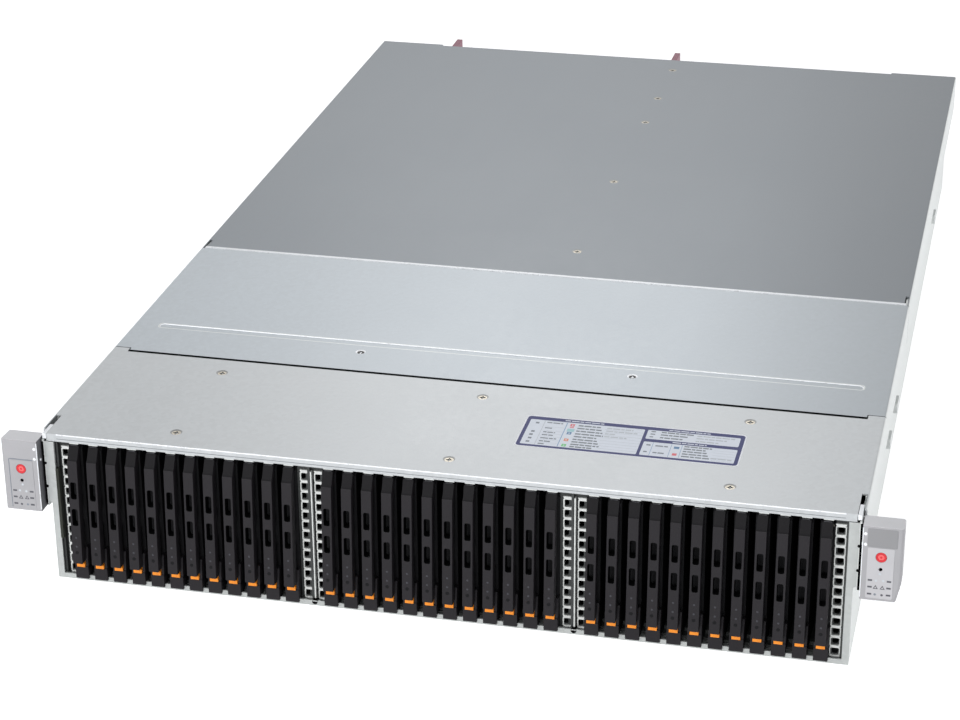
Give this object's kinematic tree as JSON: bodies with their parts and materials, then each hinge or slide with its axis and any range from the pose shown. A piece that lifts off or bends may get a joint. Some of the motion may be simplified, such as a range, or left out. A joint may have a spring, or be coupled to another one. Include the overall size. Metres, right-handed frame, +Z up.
{
  "type": "rack server",
  "caption": "Two-unit rack server with upright hot-swap drives across the front, control-panel ears, a lift-off fan cover and pull-out server sleds and power supplies at the back.",
  "frame": {"origin": "middle of the chassis floor's underside", "axes": "+X to the right seen from the front, +Y from the front to the back, +Z up"},
  "size_m": [0.476, 0.7389, 0.087],
  "materials": {
    "galvanised": "satin",
    "cover_steel": "satin",
    "board": "matt",
    "ear_plastic": "matt",
    "button_plastic": "gloss",
    "fan_plastic": "matt",
    "psu_steel": "satin",
    "release_plastic": "matt",
    "drive_plastic": "matt"
  },
  "bodies": {
    "chassis": {"chassis_base": "galvanised", "front_cover": "cover_steel", "rear_cover": "cover_steel", "drive_cage": "galvanised", "backplane": "board", "ear_brackets": "galvanised", "ear_left": "ear_plastic", "ear_right": "ear_plastic", "fan_frames": "fan_plastic"},
    "fan_cover": {"fan_cover": "cover_steel"},
    "power_button_left": {"power_button_left": "button_plastic"},
    "power_button_right": {"power_button_right": "button_plastic"},
    "drive_lever": {"drive_lever": "drive_plastic"},
    "fan_rotor_1": {"fan_rotor_1": "fan_plastic"},
    "fan_rotor_2": {"fan_rotor_2": "fan_plastic"},
    "fan_rotor_3": {"fan_rotor_3": "fan_plastic"},
    "fan_rotor_4": {"fan_rotor_4": "fan_plastic"},
    "node_sled_left": {"node_sled_left": "galvanised"},
    "node_latch_left": {"node_latch_left": "release_plastic"},
    "psu_left": {"psu_left": "psu_steel"},
    "node_sled_right": {"node_sled_right": "galvanised"},
    "node_latch_right": {"node_latch_right": "release_plastic"},
    "psu_right": {"psu_right": "psu_steel"},
    "drive_01": {"drive_01": "drive_plastic"},
    "drive_02": {"drive_02": "drive_plastic"},
    "drive_03": {"drive_03": "drive_plastic"},
    "drive_04": {"drive_04": "drive_plastic"},
    "drive_05": {"drive_05": "drive_plastic"},
    "drive_06": {"drive_06": "drive_plastic"},
    "drive_07": {"drive_07": "drive_plastic"},
    "drive_08": {"drive_08": "drive_plastic"},
    "drive_09": {"drive_09": "drive_plastic"},
    "drive_10": {"drive_10": "drive_plastic"},
    "drive_11": {"drive_11": "drive_plastic"},
    "drive_12": {"drive_12": "drive_plastic"},
    "drive_13": {"drive_13": "drive_plastic"},
    "drive_14": {"drive_14": "drive_plastic"},
    "drive_15": {"drive_15": "drive_plastic"},
    "drive_16": {"drive_16": "drive_plastic"},
    "drive_17": {"drive_17": "drive_plastic"},
    "drive_18": {"drive_18": "drive_plastic"},
    "drive_19": {"drive_19": "drive_plastic"},
    "drive_20": {"drive_20": "drive_plastic"},
    "drive_21": {"drive_21": "drive_plastic"},
    "drive_22": {"drive_22": "drive_plastic"},
    "drive_23": {"drive_23": "drive_plastic"},
    "drive_24": {"drive_24": "drive_plastic"},
    "drive_25": {"drive_25": "drive_plastic"},
    "drive_26": {"drive_26": "drive_plastic"},
    "drive_27": {"drive_27": "drive_plastic"},
    "drive_28": {"drive_28": "drive_plastic"},
    "drive_29": {"drive_29": "drive_plastic"},
    "drive_30": {"drive_30": "drive_plastic"},
    "drive_31": {"drive_31": "drive_plastic"},
    "drive_32": {"drive_32": "drive_plastic"},
    "drive_33": {"drive_33": "drive_plastic"},
    "drive_34": {"drive_34": "drive_plastic"},
    "drive_35": {"drive_35": "drive_plastic"},
    "drive_36": {"drive_36": "drive_plastic"}
  },
  "joints": [
    {"name": "power_button_left_press", "type": "slide", "parent": "chassis", "child": "power_button_left", "axis": [0, 1, 0], "range_m": [0, 0.0008], "stiffness_N_per_m": 600, "springref_m": -0.0004},
    {"name": "power_button_right_press", "type": "slide", "parent": "chassis", "child": "power_button_right", "axis": [0, 1, 0], "range_m": [0, 0.0008], "stiffness_N_per_m": 600, "springref_m": -0.0004},
    {"name": "drive_lever_open", "type": "hinge", "parent": "drive_36", "child": "drive_lever", "pos_m": [0.1997, -0.3444, 0.0766], "axis": [-1, 0, 0], "range_deg": [0, 50]},
    {"name": "fan_rotor_1_spin", "type": "hinge", "parent": "chassis", "child": "fan_rotor_1", "pos_m": [-0.15607, -0.147, 0.0415], "axis": [0, 1, 0], "continuous": true},
    {"name": "fan_rotor_2_spin", "type": "hinge", "parent": "chassis", "child": "fan_rotor_2", "pos_m": [-0.05202, -0.147, 0.0415], "axis": [0, 1, 0], "continuous": true},
    {"name": "fan_rotor_3_spin", "type": "hinge", "parent": "chassis", "child": "fan_rotor_3", "pos_m": [0.05202, -0.147, 0.0415], "axis": [0, 1, 0], "continuous": true},
    {"name": "fan_rotor_4_spin", "type": "hinge", "parent": "chassis", "child": "fan_rotor_4", "pos_m": [0.15607, -0.147, 0.0415], "axis": [0, 1, 0], "continuous": true},
    {"name": "fan_cover_lift", "type": "slide", "parent": "chassis", "child": "fan_cover", "axis": [0, 0, 1], "range_m": [0, 0.08]},
    {"name": "node_sled_left_pull", "type": "slide", "parent": "chassis", "child": "node_sled_left", "axis": [0, 1, 0], "range_m": [0, 0.42]},
    {"name": "node_latch_left_press", "type": "hinge", "parent": "node_sled_left", "child": "node_latch_left", "pos_m": [-0.1657, 0.3515, 0.052], "axis": [0, 0, -1], "range_deg": [0, 12], "stiffness_Nm_per_rad": 0.4, "springref_deg": -2.86},
    {"name": "psu_left_pull", "type": "slide", "parent": "chassis", "child": "psu_left", "axis": [0, 1, 0], "range_m": [0, 0.2]},
    {"name": "node_sled_right_pull", "type": "slide", "parent": "chassis", "child": "node_sled_right", "axis": [0, 1, 0], "range_m": [0, 0.42]},
    {"name": "node_latch_right_press", "type": "hinge", "parent": "node_sled_right", "child": "node_latch_right", "pos_m": [0.0061, 0.3515, 0.052], "axis": [0, 0, -1], "range_deg": [0, 12], "stiffness_Nm_per_rad": 0.4, "springref_deg": -2.86},
    {"name": "psu_right_pull", "type": "slide", "parent": "chassis", "child": "psu_right", "axis": [0, 1, 0], "range_m": [0, 0.2]},
    {"name": "drive_01_pull", "type": "slide", "parent": "chassis", "child": "drive_01", "axis": [0, -1, 0], "range_m": [0, 0.12]},
    {"name": "drive_02_pull", "type": "slide", "parent": "chassis", "child": "drive_02", "axis": [0, -1, 0], "range_m": [0, 0.12]},
    {"name": "drive_03_pull", "type": "slide", "parent": "chassis", "child": "drive_03", "axis": [0, -1, 0], "range_m": [0, 0.12]},
    {"name": "drive_04_pull", "type": "slide", "parent": "chassis", "child": "drive_04", "axis": [0, -1, 0], "range_m": [0, 0.12]},
    {"name": "drive_05_pull", "type": "slide", "parent": "chassis", "child": "drive_05", "axis": [0, -1, 0], "range_m": [0, 0.12]},
    {"name": "drive_06_pull", "type": "slide", "parent": "chassis", "child": "drive_06", "axis": [0, -1, 0], "range_m": [0, 0.12]},
    {"name": "drive_07_pull", "type": "slide", "parent": "chassis", "child": "drive_07", "axis": [0, -1, 0], "range_m": [0, 0.12]},
    {"name": "drive_08_pull", "type": "slide", "parent": "chassis", "child": "drive_08", "axis": [0, -1, 0], "range_m": [0, 0.12]},
    {"name": "drive_09_pull", "type": "slide", "parent": "chassis", "child": "drive_09", "axis": [0, -1, 0], "range_m": [0, 0.12]},
    {"name": "drive_10_pull", "type": "slide", "parent": "chassis", "child": "drive_10", "axis": [0, -1, 0], "range_m": [0, 0.12]},
    {"name": "drive_11_pull", "type": "slide", "parent": "chassis", "child": "drive_11", "axis": [0, -1, 0], "range_m": [0, 0.12]},
    {"name": "drive_12_pull", "type": "slide", "parent": "chassis", "child": "drive_12", "axis": [0, -1, 0], "range_m": [0, 0.12]},
    {"name": "drive_13_pull", "type": "slide", "parent": "chassis", "child": "drive_13", "axis": [0, -1, 0], "range_m": [0, 0.12]},
    {"name": "drive_14_pull", "type": "slide", "parent": "chassis", "child": "drive_14", "axis": [0, -1, 0], "range_m": [0, 0.12]},
    {"name": "drive_15_pull", "type": "slide", "parent": "chassis", "child": "drive_15", "axis": [0, -1, 0], "range_m": [0, 0.12]},
    {"name": "drive_16_pull", "type": "slide", "parent": "chassis", "child": "drive_16", "axis": [0, -1, 0], "range_m": [0, 0.12]},
    {"name": "drive_17_pull", "type": "slide", "parent": "chassis", "child": "drive_17", "axis": [0, -1, 0], "range_m": [0, 0.12]},
    {"name": "drive_18_pull", "type": "slide", "parent": "chassis", "child": "drive_18", "axis": [0, -1, 0], "range_m": [0, 0.12]},
    {"name": "drive_19_pull", "type": "slide", "parent": "chassis", "child": "drive_19", "axis": [0, -1, 0], "range_m": [0, 0.12]},
    {"name": "drive_20_pull", "type": "slide", "parent": "chassis", "child": "drive_20", "axis": [0, -1, 0], "range_m": [0, 0.12]},
    {"name": "drive_21_pull", "type": "slide", "parent": "chassis", "child": "drive_21", "axis": [0, -1, 0], "range_m": [0, 0.12]},
    {"name": "drive_22_pull", "type": "slide", "parent": "chassis", "child": "drive_22", "axis": [0, -1, 0], "range_m": [0, 0.12]},
    {"name": "drive_23_pull", "type": "slide", "parent": "chassis", "child": "drive_23", "axis": [0, -1, 0], "range_m": [0, 0.12]},
    {"name": "drive_24_pull", "type": "slide", "parent": "chassis", "child": "drive_24", "axis": [0, -1, 0], "range_m": [0, 0.12]},
    {"name": "drive_25_pull", "type": "slide", "parent": "chassis", "child": "drive_25", "axis": [0, -1, 0], "range_m": [0, 0.12]},
    {"name": "drive_26_pull", "type": "slide", "parent": "chassis", "child": "drive_26", "axis": [0, -1, 0], "range_m": [0, 0.12]},
    {"name": "drive_27_pull", "type": "slide", "parent": "chassis", "child": "drive_27", "axis": [0, -1, 0], "range_m": [0, 0.12]},
    {"name": "drive_28_pull", "type": "slide", "parent": "chassis", "child": "drive_28", "axis": [0, -1, 0], "range_m": [0, 0.12]},
    {"name": "drive_29_pull", "type": "slide", "parent": "chassis", "child": "drive_29", "axis": [0, -1, 0], "range_m": [0, 0.12]},
    {"name": "drive_30_pull", "type": "slide", "parent": "chassis", "child": "drive_30", "axis": [0, -1, 0], "range_m": [0, 0.12]},
    {"name": "drive_31_pull", "type": "slide", "parent": "chassis", "child": "drive_31", "axis": [0, -1, 0], "range_m": [0, 0.12]},
    {"name": "drive_32_pull", "type": "slide", "parent": "chassis", "child": "drive_32", "axis": [0, -1, 0], "range_m": [0, 0.12]},
    {"name": "drive_33_pull", "type": "slide", "parent": "chassis", "child": "drive_33", "axis": [0, -1, 0], "range_m": [0, 0.12]},
    {"name": "drive_34_pull", "type": "slide", "parent": "chassis", "child": "drive_34", "axis": [0, -1, 0], "range_m": [0, 0.12]},
    {"name": "drive_35_pull", "type": "slide", "parent": "chassis", "child": "drive_35", "axis": [0, -1, 0], "range_m": [0, 0.12]},
    {"name": "drive_36_pull", "type": "slide", "parent": "chassis", "child": "drive_36", "axis": [0, -1, 0], "range_m": [0, 0.12]}
  ]
}
